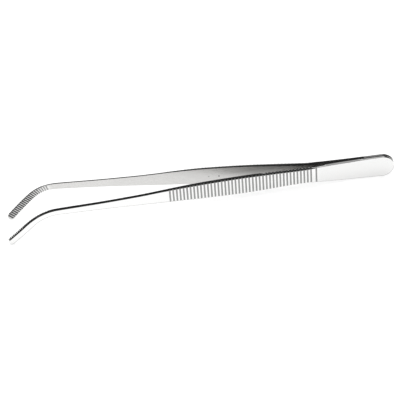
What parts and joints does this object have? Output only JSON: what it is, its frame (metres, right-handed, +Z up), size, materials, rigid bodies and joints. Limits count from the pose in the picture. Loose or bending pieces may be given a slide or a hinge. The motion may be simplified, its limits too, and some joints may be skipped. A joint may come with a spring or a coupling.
{
  "type": "curved tip tweezers",
  "caption": "Long steel tweezers with sprung arms, ribbed grips and serrated jaws that turn down, for placing small plants under water.",
  "frame": {"origin": "centre of the footprint, on the surface that the tweezers stand on", "axes": "+X from the tips to the butt, +Y from the front arm to the rear arm, +Z up; the strips stand on edge, resting on both tips and on the lower edge of the butt"},
  "size_m": [0.2512, 0.029, 0.0242],
  "materials": {
    "arm_steel": "satin ground stainless steel, polished on the outer faces",
    "weld_steel": "dull fused steel, hidden between the arms"
  },
  "bodies": {
    "butt": {"front_arm_root": "arm_steel", "rear_arm_root": "arm_steel", "weld_nugget_1": "weld_steel", "weld_nugget_2": "weld_steel"},
    "front_arm": {"front_arm_blade": "arm_steel"},
    "rear_arm": {"rear_arm_blade": "arm_steel"}
  },
  "joints": [
    {"name": "front_arm_flex", "type": "hinge", "parent": "butt", "child": "front_arm", "pos_m": [0.07972, -0.00176, 0.01028], "axis": [-0.0673, 0, -0.9977], "range_deg": [-1, 3], "stiffness_Nm_per_rad": 8},
    {"name": "rear_arm_flex", "type": "hinge", "parent": "butt", "child": "rear_arm", "pos_m": [0.07972, 0.00176, 0.01028], "axis": [0.0673, 0, 0.9977], "range_deg": [-1, 3], "stiffness_Nm_per_rad": 8}
  ]
}
